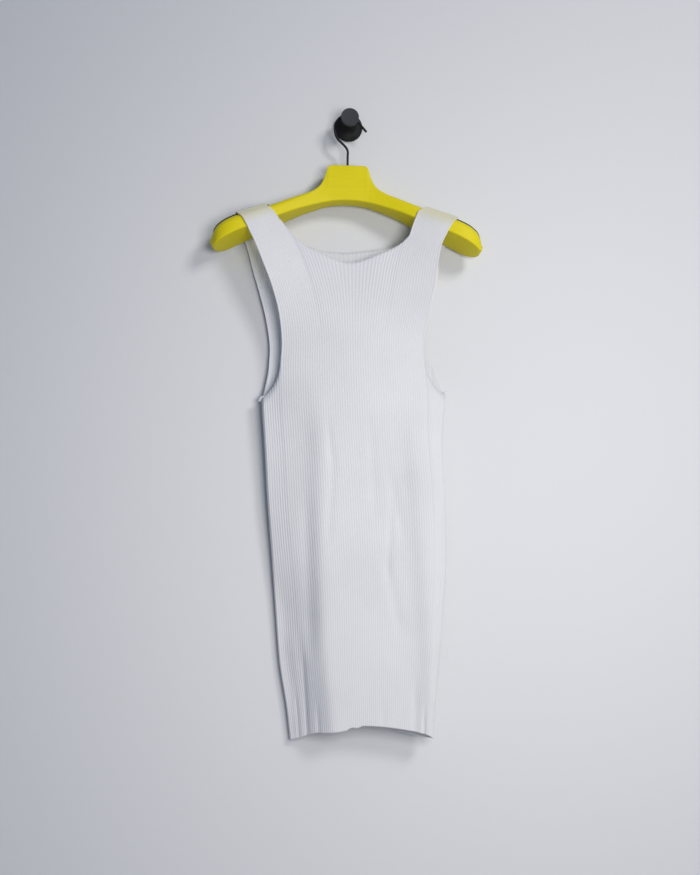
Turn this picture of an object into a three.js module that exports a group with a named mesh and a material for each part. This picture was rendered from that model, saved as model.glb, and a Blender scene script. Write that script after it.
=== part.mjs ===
// A long rib-knit tank top on a broad wooden hanger, hung on a wall hook.
// Millimetres, +Z up. The wall is the plane y = 0 and the front of the garment faces -Y.
// The origin is the middle of the wall hook's plate, on the wall.
import * as THREE from "three";

// Knit wall
const CLOTH = 1.3; // wall in the valley between two ribs
const RIB = 0.8; // how far a rib stands proud of the valley
const WALL = CLOTH + RIB;
const GAP = 0.3; // between pieces that touch
const RIBS = 80; // ribs across each panel at the hem
const COLUMNS = 2 * RIBS; // a valley and a crest for each rib
const INNER_STEP = 4; // the plain inner face has one column for two ribs
const BODY_ROWS = 8;
const CHEST_ROWS = 7;
const STRAP_ROWS = 9;
const PROBE = 0.004; // step in rib place or strap row for reading the wall's slope

// Heights of the garment
const CHEST = -372; // where the armholes start to curve out toward the underarm
const NOTCH = -425; // underarm point, top of the side seams
const CENTRE = -3; // x of the middle rib at the chest
const STRAP_FOOT = -187; // where the straps' outer edges start to follow the hanger
const HELD_FROM = -262; // the hanger starts to shape the straps' fall here
const HELD_OVER = 75;
const SIDE_ROUND = 4.5; // greatest width over which a face curls into the side seam
const CURL_RADIUS = 2.3; // least radius of that curl, a little over the wall's thickness
const SEAM_SOFT = 1.5; // how softly a face comes to rest near the plane between the seams
const CREASE_SOFT = 3.6; // how softly a face bends at the creases beside its middle
const EASE = 80; // how far below the underarm the middle ribs start to fan
const FOLD_START = 0.3; // shares of a fold's length over which it comes and goes
const FOLD_END = 0.15;
const HELD_INSIDE = 0.25; // the hanger shapes the cloth from this share of the half width outward,
const HELD_WIDTH = 0.4; // growing over this share

// The hanging tube from the hem up: outline at the side seams, and depths of both seams and of both faces.
const BODY = [
  { z: -920, left: -100.5, right: 104.5, seamLeft: -9, seamRight: -36, front: -50, back: -9 },
  { z: -870, left: -105.8, right: 107.8, seamLeft: -9, seamRight: -36, front: -50, back: -9 },
  { z: -810, left: -114.8, right: 115.8, seamLeft: -9, seamRight: -34, front: -49.5, back: -9 },
  { z: -732, left: -120, right: 124.2, seamLeft: -10, seamRight: -31, front: -49, back: -9 },
  { z: -650, left: -125, right: 131, seamLeft: -13, seamRight: -28, front: -48, back: -9.5 },
  { z: -575, left: -130, right: 131, seamLeft: -16, seamRight: -26, front: -46.5, back: -9.5 },
  { z: -500, left: -133.2, right: 129.6, seamLeft: -19, seamRight: -25, front: -45, back: -10 },
  { z: -425, left: -137, right: 136.2, seamLeft: -20, seamRight: -23, front: -45, back: -10.5 },
  { z: -372, left: -138, right: 138, seamLeft: -20, seamRight: -23, front: -46, back: -11 },
];

// Both sides of a face turn toward the side seams, each from a crease: its x, and the slope beyond it.
// "room" is how close to the plane between the seams the face comes.
const FRONT_TURN = [
  { z: -960, left: -41, leftSlope: 0.55, right: 96, rightSlope: 0.9, room: 3.6 },
  { z: -900, left: -43, leftSlope: 0.54, right: 97, rightSlope: 0.9, room: 3.6 },
  { z: -830, left: -50, leftSlope: 0.5, right: 103, rightSlope: 0.85, room: 3.8 },
  { z: -740, left: -56, leftSlope: 0.44, right: 108, rightSlope: 0.8, room: 4.2 },
  { z: -650, left: -55, leftSlope: 0.35, right: 112, rightSlope: 0.75, room: 5 },
  { z: -560, left: -54, leftSlope: 0.27, right: 112, rightSlope: 0.7, room: 6.5 },
  { z: -465, left: -50, leftSlope: 0.21, right: 108, rightSlope: 0.65, room: 8.5 },
  { z: -400, left: -50, leftSlope: 0.21, right: 105, rightSlope: 0.6, room: 9 },
  { z: -360, left: -50, leftSlope: 0.21, right: 105, rightSlope: 0.6, room: 9 },
];
const BACK_TURN = [
  { z: -960, left: -60, leftSlope: 0, right: 45, rightSlope: 0.42, room: 3.4 },
  { z: -900, left: -60, leftSlope: 0, right: 45, rightSlope: 0.42, room: 3.4 },
  { z: -740, left: -60, leftSlope: 0, right: 45, rightSlope: 0.25, room: 3.4 },
  { z: -560, left: -60, leftSlope: 0, right: 45, rightSlope: 0.14, room: 3.4 },
  { z: -400, left: -60, leftSlope: 0, right: 45, rightSlope: 0.09, room: 3.4 },
];

// Front and back from the chest up: the armhole edges, the depth at those edges and at the middle,
// and the share of each half's width that the strap's ribs take.
const FRONT_CHEST = [
  { z: -372, left: -108.4, right: 104.6, edge: -37, middle: -47, strap: 0.533 },
  { z: -342, left: -106.4, right: 103.2, edge: -41, middle: -46.8, strap: 0.53 },
  { z: -300, left: -110.2, right: 111.7, edge: -48, middle: -46.5, strap: 0.515 },
  { z: -262, left: -119.8, right: 120.3, edge: -55, middle: -46, strap: 0.49 },
  { z: -228, left: -132.2, right: 125, edge: -60, middle: -45.5, strap: 0.455 },
  { z: -196, left: -144.8, right: 133.2, edge: -62, middle: -45, strap: 0.41 },
  { z: -165, left: -160.5, right: 152.5, edge: -63, middle: -45, strap: 0.345 },
  { z: -140, left: -172, right: 161, edge: -63, middle: -45, strap: 0.3 },
];
const BACK_CHEST = [
  { z: -372, left: -125.6, right: 118.6, edge: -10.5, middle: -11.5, strap: 0.47 },
  { z: -342, left: -124.4, right: 115.4, edge: -9.7, middle: -11.7, strap: 0.468 },
  { z: -300, left: -130, right: 120.8, edge: -9, middle: -12, strap: 0.455 },
  { z: -262, left: -139, right: 128.8, edge: -8, middle: -12, strap: 0.435 },
  { z: -228, left: -148.2, right: 134.5, edge: -7, middle: -12, strap: 0.4 },
  { z: -196, left: -156, right: 142, edge: -6, middle: -12, strap: 0.36 },
  { z: -165, left: -165.5, right: 156, edge: -5.6, middle: -12, strap: 0.32 },
  { z: -140, left: -172, right: 161, edge: -5.5, middle: -12, strap: 0.3 },
];

// Lower curve of the armholes, from the underarm up to the chest.
const FRONT_ARMHOLE = [
  { z: -425, left: -137, right: 136.2 },
  { z: -417, left: -127.5, right: 128 },
  { z: -405, left: -118, right: 116.5 },
  { z: -388, left: -110.8, right: 108.2 },
  { z: -372, left: -108.4, right: 104.6 },
];
const BACK_ARMHOLE = [
  { z: -425, left: -137, right: 136.2 },
  { z: -414, left: -134, right: 132.2 },
  { z: -400, left: -130.5, right: 126.5 },
  { z: -386, left: -127.6, right: 121.8 },
  { z: -372, left: -125.6, right: 118.6 },
];

// Necklines and hems as heights across the width.
const FRONT_NECK = [
  { x: -121, z: -137 },
  { x: -102, z: -168 },
  { x: -78, z: -194 },
  { x: -48, z: -211 },
  { x: -19, z: -223 },
  { x: -4, z: -225.2 },
  { x: 9, z: -223.5 },
  { x: 40, z: -212 },
  { x: 74, z: -195 },
  { x: 98, z: -167 },
  { x: 114, z: -139 },
];
const BACK_NECK = [
  { x: -121, z: -136 },
  { x: -101, z: -162 },
  { x: -76, z: -184 },
  { x: -47, z: -197 },
  { x: -10, z: -201.3 },
  { x: 29, z: -197.5 },
  { x: 68, z: -189 },
  { x: 96, z: -165 },
  { x: 114, z: -140 },
];
const FRONT_HEM = [
  { x: -101, z: -918 },
  { x: -86, z: -914 },
  { x: -66, z: -905.5 },
  { x: -22, z: -899.5 },
  { x: -12, z: -895 },
  { x: 3, z: -894 },
  { x: 50, z: -899 },
  { x: 92, z: -909 },
  { x: 105, z: -917 },
];
const BACK_HEM = [
  { x: -101, z: -918.5 },
  { x: -50, z: -909 },
  { x: 0, z: -905.5 },
  { x: 50, z: -910.5 },
  { x: 105, z: -917.5 },
];

// Soft folds of each face, each along a line from its top to its foot.
// "out" is how far its middle stands out of the face, less than 0 for a trough, and "reach" is
// its half width. A step is out all along its right side instead.
const FRONT_FOLDS = [
  { topX: -74, topZ: -540, footX: -70, footZ: -820, out: -1.6, reach: 9 },
  { topX: -88, topZ: -740, footX: -75, footZ: -960, out: -1.6, reach: 6 },
  { topX: 78, topZ: -820, footX: 75, footZ: -960, out: -1.5, reach: 6 },
  { topX: 62, topZ: -390, footX: 96, footZ: -960, out: 5, reach: 14, step: true },
  { topX: -40, topZ: -452, footX: -36, footZ: -530, out: -1, reach: 5 },
  { topX: 44, topZ: -520, footX: 68, footZ: -640, out: -1, reach: 7 },
  { topX: 34, topZ: -640, footX: 60, footZ: -770, out: -1.2, reach: 8 },
];
const BACK_FOLDS = [
  { topX: -70, topZ: -400, footX: -96, footZ: -960, out: -2, reach: 20 },
  { topX: 40, topZ: -430, footX: 66, footZ: -960, out: -2.5, reach: 22 },
];

// Each panel's own forms. "chest" and "neck" are shares of half the ribs: where the ribs stop that
// end at the armhole, and where those begin that end at the neckline. "feet" are the heights where the
// inner edges of the straps start to follow the hanger.
const FRONT_PANEL = {
  face: "front",
  outward: -1,
  chestRows: FRONT_CHEST,
  armhole: FRONT_ARMHOLE,
  neckline: FRONT_NECK,
  hem: FRONT_HEM,
  folds: FRONT_FOLDS,
  turn: FRONT_TURN,
  chest: 0.75,
  neck: 0.35,
  feet: { left: -163, right: -185 },
};
const BACK_PANEL = {
  face: "back",
  outward: 1,
  chestRows: BACK_CHEST,
  armhole: BACK_ARMHOLE,
  neckline: BACK_NECK,
  hem: BACK_HEM,
  folds: BACK_FOLDS,
  turn: BACK_TURN,
  chest: 0.85,
  neck: 0.45,
  feet: { left: -163, right: -163 },
};

// Hanger, in its own frame: x from its middle, z from the top of its block, depths from the wall.
const HANGER_X = -4;
const HANGER_Z = -72;
const HANGER_TILT = THREE.MathUtils.degToRad(1.2); // its right end hangs lower
const HANGER = [
  { x: 0, top: 0, front: -36, back: -12, lowFront: -55, lowBack: -56, crown: 2.5 },
  { x: 14, top: 0, front: -36, back: -12, lowFront: -55.7, lowBack: -56.7, crown: 2.5 },
  { x: 25, top: -0.3, front: -36, back: -12, lowFront: -57, lowBack: -58, crown: 2.5 },
  { x: 29.5, top: -2.5, front: -36.3, back: -12, lowFront: -58, lowBack: -59, crown: 2.8 },
  { x: 32, top: -9, front: -36.5, back: -12, lowFront: -58.5, lowBack: -59.5, crown: 3.2 },
  { x: 35, top: -19, front: -37, back: -11.9, lowFront: -59.3, lowBack: -60.3, crown: 3.8 },
  { x: 42, top: -31.5, front: -38, back: -11.7, lowFront: -61.3, lowBack: -62.5, crown: 5 },
  { x: 56, top: -41.5, front: -40.5, back: -11.2, lowFront: -66, lowBack: -67.5, crown: 7 },
  { x: 75, top: -49.5, front: -44.5, back: -10.5, lowFront: -73, lowBack: -75, crown: 9.5 },
  { x: 95, top: -58, front: -49, back: -9.8, lowFront: -82, lowBack: -84.8, crown: 12 },
  { x: 117, top: -67.6, front: -54, back: -9, lowFront: -92.5, lowBack: -96.5, crown: 13.5 },
  { x: 140, top: -76.3, front: -59, back: -8.3, lowFront: -103, lowBack: -108, crown: 14.5 },
  { x: 163, top: -84.6, front: -61.5, back: -8, lowFront: -113.5, lowBack: -119.5, crown: 15 },
  { x: 180, top: -92.2, front: -60, back: -10, lowFront: -122, lowBack: -128.5, crown: 15 },
  { x: 190, top: -99, front: -56, back: -15, lowFront: -127.5, lowBack: -132.5, crown: 14 },
  { x: 195, top: -103.8, front: -51.5, back: -20, lowFront: -130.6, lowBack: -133.8, crown: 12.4 },
  { x: 199, top: -110.8, front: -46, back: -25.5, lowFront: -131.6, lowBack: -133.3, crown: 9.8 },
  { x: 201.6, top: -119.5, front: -39.5, back: -31.5, lowFront: -128.5, lowBack: -129, crown: 4 },
];
const CROWN_POWER = 2.3; // 2 would be an ellipse
const CROWN_STEPS = 8;
const LOW_EDGE = 1.8; // bevel of the hanger's lower edges

// How the straps lie on the hanger
const REST = 0.8; // space between wood and cloth
const SEAM_TURN = THREE.MathUtils.degToRad(106); // shoulder seam, just behind the ridge
const SEAM_HALF_GAP_TURN = 0.0075; // radians of turn, which is half the gap at the seam
const FACE_SHARE = 0.3; // share of a strap's rows that is on the hanger's upright face
const STRAP_SPREAD = 0.65; // share of a strap's rows over which it shifts to its place on top
const STRAP_TOP = { leftOuter: -171.8, leftInner: -129.4, rightInner: 114.1, rightOuter: 159.3 };
const STRAP_LEVEL = -150; // height that the straps' places on the hanger are read at

// Rubber grip strips on the hanger
const GRIP_FROM = 117; // both ends are rows of the hanger's table
const GRIP_TO = 199;
const GRIP_TURN = THREE.MathUtils.degToRad(70); // toward the front of the ridge
const GRIP_HALF_TURN = THREE.MathUtils.degToRad(14);
const GRIP_THICK = 2;
const OVER_GRIP = GRIP_THICK + 2 * GAP - REST + 0.3; // extra lift of a strap where it crosses a strip
const OVER_GRIP_REACH = 2.6; // how far either way it is lifted, in half widths of the strip

// Hanger's wire hook, in the plane of the hanger's block
const WIRE_DIAMETER = 3.6;
const WIRE_Y = -24;
const WIRE_SIDES = 8;
const WIRE_STEPS = 40;
const WIRE_ROUTE = [
  { x: -4, z: HANGER_Z + GAP },
  { x: -3.4, z: -56 },
  { x: -3.2, z: -46.5 },
  { x: -5.6, z: -41 },
  { x: -10.5, z: -35.5 },
  { x: -16.5, z: -29.5 },
  { x: -20.8, z: -22 },
  { x: -22.2, z: -13 },
  { x: -20.8, z: -3.5 },
  { x: -15.8, z: 4.2 },
  { x: -8.5, z: 8.6 },
  { x: -0.5, z: 9.4 },
  { x: 6.8, z: 6.2 },
  { x: 13, z: 0 },
  { x: 19.4, z: -8 },
  { x: 25.6, z: -15.6 },
];

// Wall hook: plate, flared neck and knob, turned about an axis at right angles to the wall
const PLATE_RADIUS = 21.8;
const PLATE_THICK = 5;
const PLATE_BEVEL = 1;
const FLARE_RADIUS = 19.8; // where the flare leaves the plate
const NECK_RADIUS = 6.4;
const NECK_START = 17; // from the wall, where the flare ends
const NECK_END = 29; // where the neck widens into the knob
const KNOB_BACK = { radius: 12, y: 35 };
const KNOB_UNDER = { radius: 8, y: 31.6 };
const KNOB_RADIUS = 13.5;
const KNOB_RIM = 37; // from the wall, where the knob's rim starts
const KNOB_FRONT = 42;
const KNOB_BEVEL = 0.8;
const FLARE_STEPS = 5;
const HOOK_SIDES = 24;

const WHITE_KNIT = new THREE.MeshStandardMaterial({ color: 0xe4e4e8, roughness: 0.95, metalness: 0 });
const YELLOW_PAINT = new THREE.MeshStandardMaterial({ color: 0xe0cf1e, roughness: 0.42, metalness: 0 });
const BLACK_RUBBER = new THREE.MeshStandardMaterial({ color: 0x141417, roughness: 0.8, metalness: 0 });
const BLACK_STEEL = new THREE.MeshStandardMaterial({ color: 0x121214, roughness: 0.45, metalness: 0.6 });
const BLACK_COAT = new THREE.MeshStandardMaterial({ color: 0x2b2b2f, roughness: 0.5, metalness: 0.3 });

const mix = (a, b, t) => a + (b - a) * t;
const clamp = (t) => Math.min(1, Math.max(0, t));
const smooth = (t) => clamp(t) ** 2 * (3 - 2 * clamp(t));

// Rises from 0 before t = 0 to a slope of 1 after it, softly.
const ramp = (t, soft) => soft * Math.log1p(Math.exp(t / soft));

// A table's value at one place, on a smooth curve through its rows. "by" names the column that orders them.
function along(rows, key, at, by = "z") {
  const last = rows.length - 1;
  const place = Math.min(rows[last][by], Math.max(rows[0][by], at));
  let i = 0;
  while (i < last - 1 && rows[i + 1][by] < place) i += 1;
  const slope = (k) => {
    const a = rows[Math.max(0, k - 1)];
    const b = rows[Math.min(last, k + 1)];
    return (b[key] - a[key]) / (b[by] - a[by]);
  };
  const span = rows[i + 1][by] - rows[i][by];
  const t = (place - rows[i][by]) / span;
  const rise = rows[i + 1][key] - rows[i][key];
  const bend = t * (1 - t);
  return (
    rows[i][key] + rise * smooth(t) + bend * span * ((1 - t) * slope(i) - t * slope(i + 1))
  );
}

// Depth of the plane between both side seams.
function seamLine(x, z) {
  const left = along(BODY, "left", z);
  const across = clamp((x - left) / (along(BODY, "right", z) - left));
  return mix(along(BODY, "seamLeft", z), along(BODY, "seamRight", z), across);
}

// How far a face of the hanging tube stands out of the plane between the seams.
function tubeDepth(panel, x, z) {
  const at = (key) => along(panel.turn, key, z);
  const left = at("leftSlope") * ramp(at("left") - x, CREASE_SOFT);
  const right = at("rightSlope") * ramp(x - at("right"), CREASE_SOFT);
  const face = panel.outward * (along(BODY, panel.face, z) - seamLine(x, z));
  return at("room") + ramp(face + foldOut(panel, x, z) - left - right - at("room"), SEAM_SOFT);
}

// Width of the curl into a side seam, where the face comes to this depth.
function curlWidth(depth) {
  return Math.min(SIDE_ROUND, Math.sqrt(CURL_RADIUS * depth));
}

// Place of a rib on the hanging tube at a height. "a" is -1 at the left seam and 1 at the right one.
function tubePoint(panel, a, z) {
  const left = along(BODY, "left", z);
  const right = along(BODY, "right", z);
  const leftDepth = tubeDepth(panel, left + SIDE_ROUND, z);
  const rightDepth = tubeDepth(panel, right - SIDE_ROUND, z);
  const leftWidth = curlWidth(leftDepth);
  const rightWidth = curlWidth(rightDepth);
  const leftTurn = (Math.PI / 4) * (leftWidth + leftDepth);
  const rightTurn = (Math.PI / 4) * (rightWidth + rightDepth);
  const total = right - left - leftWidth - rightWidth + leftTurn + rightTurn;
  const fromLeft = ((a + 1) / 2) * total;
  const fromSeam = a < 0 ? fromLeft : total - fromLeft;
  const turn = a < 0 ? leftTurn : rightTurn;
  const width = a < 0 ? leftWidth : rightWidth;
  const angle = Math.min(1, fromSeam / turn) * (Math.PI / 2);
  const inset = width * (1 - Math.cos(angle)) + Math.max(0, fromSeam - turn);
  const x = a < 0 ? left + inset : right - inset;
  const out = GAP / 2 + tubeDepth(panel, x, z) * Math.sin(angle);
  return { x, y: seamLine(x, z) + panel.outward * out };
}

// Place of a rib from the chest up, between the armhole edges.
function chestPoint(panel, a, z) {
  const rows = panel.chestRows;
  const edge = along(rows, a < 0 ? "left" : "right", z);
  const strap = along(rows, "strap", z);
  const inward = 1 - Math.abs(a) / panel.chest;
  const strapEnd = 1 - panel.neck / panel.chest;
  let share = (strap * inward) / strapEnd;
  if (inward > strapEnd) {
    const t = (inward - strapEnd) / (1 - strapEnd);
    const start = ((strap / strapEnd) * (1 - strapEnd)) / (1 - strap);
    share = strap + (1 - strap) * (start * t + (1 - start) * t * t);
  }
  const x = mix(edge, CENTRE, share);
  const across = 1 - share;
  const hung = mix(along(rows, "middle", z), along(rows, "edge", z), across * across);
  const onHanger = hangerSurface(hangerX(x), panel.outward < 0 ? 0 : Math.PI, REST + WALL).y;
  const held = smooth((z - HELD_FROM) / HELD_OVER) * smooth((across - HELD_INSIDE) / HELD_WIDTH);
  return { x, y: mix(hung, onHanger, held) };
}

// How far the folds move a face out at a place.
function foldOut(panel, x, z) {
  let out = 0;
  for (const fold of panel.folds) {
    const t = (fold.topZ - z) / (fold.topZ - fold.footZ);
    const away = (x - mix(fold.topX, fold.footX, t)) / fold.reach;
    const length = smooth(t / FOLD_START) * smooth((1 - t) / FOLD_END);
    const shape = fold.step ? (1 + Math.tanh(away)) / 2 : Math.exp(-away * away);
    out += fold.out * length * shape;
  }
  return out;
}

// Outer face of a panel at one rib and height.
function facePoint(panel, a, z) {
  const fanFrom = NOTCH - EASE * (1 - a * a);
  const rise = smooth((z - fanFrom) / (CHEST - fanFrom));
  const tube = tubePoint(panel, a, z);
  const chest = chestPoint(panel, a, z);
  return new THREE.Vector3(mix(tube.x, chest.x, rise), mix(tube.y, chest.y, rise), z);
}

// World x turned into the hanger's own x, at the straps' level.
function hangerX(x) {
  return (x - HANGER_X) * Math.cos(HANGER_TILT) - (STRAP_LEVEL - HANGER_Z) * Math.sin(HANGER_TILT);
}

function hangerToWorld(x, y, z) {
  const c = Math.cos(HANGER_TILT);
  const s = Math.sin(HANGER_TILT);
  return new THREE.Vector3(HANGER_X + x * c + z * s, y, HANGER_Z - x * s + z * c);
}

// A point on the hanger's rounded top, "lift" off the wood. Turn 0 is its front face and pi its back.
function hangerSurface(x, turn, lift) {
  const at = (key) => along(HANGER, key, Math.abs(x), "x");
  const half = (at("back") - at("front")) / 2;
  const crown = at("crown");
  const c = Math.cos(turn);
  const s = Math.max(0, Math.sin(turn));
  const power = 2 / CROWN_POWER;
  const y = (at("front") + at("back")) / 2 - Math.sign(c) * Math.abs(c) ** power * half;
  const z = at("top") - crown + s ** power * crown;
  const normal = new THREE.Vector2(
    (-Math.sign(c) * Math.abs(c) ** (2 - power)) / half,
    s ** (2 - power) / crown,
  ).normalize();
  return hangerToWorld(x, y + normal.x * lift, z + normal.y * lift);
}

// A strap's outer face where it lies on the hanger: "up" is 0 at its foot and 1 at the shoulder seam.
function strapPoint(panel, a, up) {
  const inward = (panel.chest - Math.abs(a)) / (panel.chest - panel.neck);
  const side = a < 0 ? "left" : "right";
  const foot = facePoint(panel, a, strapFoot(panel, side, inward));
  const seamX = mix(STRAP_TOP[side + "Outer"], STRAP_TOP[side + "Inner"], inward);
  const x = hangerX(mix(foot.x, seamX, clamp(up / STRAP_SPREAD)));
  const faceTurn = panel.outward < 0 ? 0 : Math.PI;
  const seamTurn = SEAM_TURN + panel.outward * SEAM_HALF_GAP_TURN;
  const turn = mix(faceTurn, seamTurn, clamp((up - FACE_SHARE) / (1 - FACE_SHARE)));
  const fromGrip = Math.abs(turn - GRIP_TURN) / GRIP_HALF_TURN;
  const overGrip = OVER_GRIP * smooth(OVER_GRIP_REACH - fromGrip);
  const point = hangerSurface(x, turn, REST + WALL + overGrip);
  if (up < FACE_SHARE) point.z = mix(foot.z, point.z, up / FACE_SHARE);
  return point;
}

function strapFoot(panel, side, inward) {
  return mix(STRAP_FOOT, panel.feet[side], clamp(inward));
}

// The height between two others up to which a test holds.
function highest(low, high, holds) {
  let from = low;
  let to = high;
  for (let i = 0; i < 30; i += 1) {
    const z = (from + to) / 2;
    if (holds(z)) from = z;
    else to = z;
  }
  return from;
}

// Where a rib that ends at the neckline meets it.
function neckHeight(panel, side, a) {
  const below = (z) => z < along(panel.neckline, "z", chestPoint(panel, a, z).x, "x");
  return highest(CHEST, panel.feet[side], below);
}

// Where a rib that ends at the armhole meets it.
function armholeHeight(panel, side, a) {
  const inside = (z) => Math.abs(facePoint(panel, a, z).x) < Math.abs(along(panel.armhole, side, z));
  return highest(NOTCH, CHEST, inside);
}

// Height of a rib's point: "v" is 0 at the hem, 1 at the chest or armhole, and 2 at the neckline
// or the strap's foot.
function heightAt(panel, a, v) {
  const share = Math.abs(a);
  const side = a < 0 ? "left" : "right";
  if (v > 1) {
    const inward = (panel.chest - share) / (panel.chest - panel.neck);
    const top = inward < 1 ? strapFoot(panel, side, inward) : neckHeight(panel, side, a);
    return mix(CHEST, top, v - 1);
  }
  const top = share > panel.chest ? armholeHeight(panel, side, a) : CHEST;
  const hem = along(panel.hem, "z", tubePoint(panel, a, BODY[0].z).x, "x");
  return mix(hem, top, v);
}

// A point of the wall at rib place "a" and height "v" (2 to 3 on the strap), "depth" inside a rib's crest.
function wallPoint(panel, a, v, depth) {
  let at;
  let across;
  let up;
  if (v > 2) {
    at = strapPoint(panel, a, v - 2);
    const row = v - 2;
    const inside = Math.min(row, 1 - PROBE);
    across = strapPoint(panel, a + PROBE, row).sub(strapPoint(panel, a - PROBE, row));
    up = strapPoint(panel, a, inside + PROBE).sub(strapPoint(panel, a, inside - PROBE));
  } else {
    const z = heightAt(panel, a, v);
    at = facePoint(panel, a, z);
    across = facePoint(panel, a + PROBE, z).sub(facePoint(panel, a - PROBE, z));
    up = facePoint(panel, a, z + 1).sub(facePoint(panel, a, z - 1));
  }
  const normal = up.cross(across).multiplyScalar(panel.outward).normalize();
  if (Math.abs(a) === 1) normal.set(Math.sign(a), 0, 0);
  return at.addScaledVector(normal, -depth);
}

// A panel of rib knit: crests and valleys on its outer face, a plain inner face and a rim all round.
function knitPanel(panel) {
  const positions = [];
  const known = new Map();
  const chestColumn = Math.round(((1 - panel.chest) / 2) * COLUMNS);
  const neckColumn = Math.round(((1 - panel.neck) / 2) * COLUMNS);

  function point(column, row, inner) {
    const key = `${column} ${row} ${inner}`;
    if (!known.has(key)) {
      let v = row / BODY_ROWS;
      if (row > BODY_ROWS) v = 1 + (row - BODY_ROWS) / CHEST_ROWS;
      if (row > BODY_ROWS + CHEST_ROWS) v = 2 + (row - BODY_ROWS - CHEST_ROWS) / STRAP_ROWS;
      const valley = column % 2 === 0 ? RIB : 0;
      known.set(key, wallPoint(panel, (2 * column) / COLUMNS - 1, v, inner ? WALL : valley));
    }
    return known.get(key);
  }

  function triangle(a, b, c, turned) {
    const order = turned === panel.outward < 0 ? [a, c, b] : [a, b, c];
    for (const p of order) positions.push(p.x, p.y, p.z);
  }

  function face(fromColumn, toColumn, fromRow, toRow) {
    for (const inner of [false, true]) {
      const step = inner ? INNER_STEP : 1;
      for (let column = fromColumn; column < toColumn; column += step) {
        for (let row = fromRow; row < toRow; row += 1) {
          const a = point(column, row, inner);
          const b = point(column + step, row, inner);
          const c = point(column + step, row + 1, inner);
          const d = point(column, row + 1, inner);
          triangle(a, b, c, inner);
          triangle(a, c, d, inner);
        }
      }
    }
  }

  function rimAlongColumns(from, to, row) {
    const step = Math.sign(to - from);
    for (let column = from; column !== to; column += step * INNER_STEP) {
      const next = column + step * INNER_STEP;
      const half = column + (step * INNER_STEP) / 2;
      const start = point(column, row, true);
      const end = point(next, row, true);
      for (let k = column; k !== next; k += step) {
        const near = (k - half) * step < 0 ? start : end;
        triangle(near, point(k + step, row, false), point(k, row, false), false);
      }
      triangle(start, end, point(half, row, false), false);
    }
  }

  function rimAlongRows(column, from, to) {
    const step = Math.sign(to - from);
    for (let row = from; row !== to; row += step) {
      const a = point(column, row, true);
      const b = point(column, row + step, true);
      const c = point(column, row + step, false);
      const d = point(column, row, false);
      triangle(a, b, c, false);
      triangle(a, c, d, false);
    }
  }

  const chestRow = BODY_ROWS;
  const footRow = chestRow + CHEST_ROWS;
  const topRow = footRow + STRAP_ROWS;
  const mirrored = (column) => COLUMNS - column;

  face(0, COLUMNS, 0, chestRow);
  face(chestColumn, mirrored(chestColumn), chestRow, footRow);
  face(chestColumn, neckColumn, footRow, topRow);
  face(mirrored(neckColumn), mirrored(chestColumn), footRow, topRow);

  rimAlongColumns(0, COLUMNS, 0);
  rimAlongRows(COLUMNS, 0, chestRow);
  rimAlongColumns(COLUMNS, mirrored(chestColumn), chestRow);
  rimAlongRows(mirrored(chestColumn), chestRow, topRow);
  rimAlongColumns(mirrored(chestColumn), mirrored(neckColumn), topRow);
  rimAlongRows(mirrored(neckColumn), topRow, footRow);
  rimAlongColumns(mirrored(neckColumn), neckColumn, footRow);
  rimAlongRows(neckColumn, footRow, topRow);
  rimAlongColumns(neckColumn, chestColumn, topRow);
  rimAlongRows(chestColumn, topRow, chestRow);
  rimAlongColumns(chestColumn, 0, chestRow);
  rimAlongRows(0, chestRow, 0);
  return trianglesGeometry(positions);
}

function trianglesGeometry(positions) {
  const geometry = new THREE.BufferGeometry();
  geometry.setAttribute("position", new THREE.Float32BufferAttribute(positions, 3));
  geometry.computeVertexNormals();
  return geometry;
}

// A closed solid through rings of points, each ring turning the same way, with a flat fan on each end.
function loft(rings) {
  const positions = [];
  const add = (...points) => points.forEach((p) => positions.push(p.x, p.y, p.z));
  const size = rings[0].length;
  for (let i = 0; i < rings.length - 1; i += 1) {
    for (let k = 0; k < size; k += 1) {
      const next = (k + 1) % size;
      add(rings[i][k], rings[i + 1][next], rings[i][next]);
      add(rings[i][k], rings[i + 1][k], rings[i + 1][next]);
    }
  }
  const first = rings[0];
  const last = rings[rings.length - 1];
  const middle = (ring) => ring.reduce((sum, p) => sum.add(p), new THREE.Vector3()).divideScalar(size);
  for (let k = 0; k < size; k += 1) {
    const next = (k + 1) % size;
    add(first[k], first[next], middle(first));
    add(last[next], last[k], middle(last));
  }
  return trianglesGeometry(positions);
}

function hangerRing(x) {
  const ring = [];
  for (let i = 0; i <= CROWN_STEPS; i += 1) {
    ring.push(hangerSurface(x, (Math.PI * i) / CROWN_STEPS, 0));
  }
  const at = (key) => along(HANGER, key, Math.abs(x), "x");
  ring.push(hangerToWorld(x, at("back"), at("lowBack") + LOW_EDGE));
  ring.push(hangerToWorld(x, at("back") - LOW_EDGE, at("lowBack")));
  ring.push(hangerToWorld(x, at("front") + LOW_EDGE, at("lowFront")));
  ring.push(hangerToWorld(x, at("front"), at("lowFront") + LOW_EDGE));
  return ring;
}

function hangerBody() {
  const places = HANGER.map((row) => row.x);
  const left = places.slice(1).reverse().map((x) => -x);
  return loft([...left, ...places].map(hangerRing));
}

function gripStrip(side) {
  const turns = [-1, 0, 1].map((k) => GRIP_TURN + k * GRIP_HALF_TURN);
  const places = HANGER.map((row) => row.x).filter((x) => x >= GRIP_FROM && x <= GRIP_TO);
  const rings = places.map((x) => {
    const under = turns.map((turn) => hangerSurface(side * x, turn, GAP));
    const over = turns.map((turn) => hangerSurface(side * x, turn, GAP + GRIP_THICK));
    return [...over, ...under.reverse()];
  });
  return loft(side > 0 ? rings : rings.reverse());
}

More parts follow.
